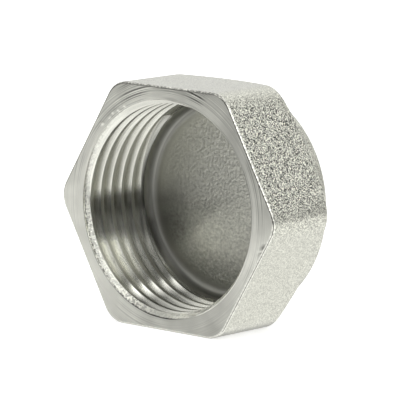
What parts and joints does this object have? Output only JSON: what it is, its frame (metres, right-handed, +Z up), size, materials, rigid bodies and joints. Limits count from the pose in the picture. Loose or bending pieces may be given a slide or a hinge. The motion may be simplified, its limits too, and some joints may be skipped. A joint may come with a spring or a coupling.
{
  "type": "threaded protection cap",
  "caption": "Hexagonal blind cap with a parallel female pipe thread: it screws over a pipe end or fitting to close and protect it.",
  "frame": {"origin": "bottom centre of the cap as it lies on one flat of its hexagon: under the thread's axis, half way along the cap's length", "axes": "+Z up, square to the flat that the cap lies on; +Y along the thread's axis from the open mouth towards the domed crown, so the mouth faces -Y; +X to the right seen into the mouth"},
  "size_m": [0.0404, 0.0186, 0.036],
  "materials": {
    "nickel_plated_brass": "nickel-plated: flats and crown shot-blasted, mouth face and thread machined, floor as forged"
  },
  "bodies": {
    "root": {"cap": "nickel_plated_brass"}
  },
  "joints": []
}
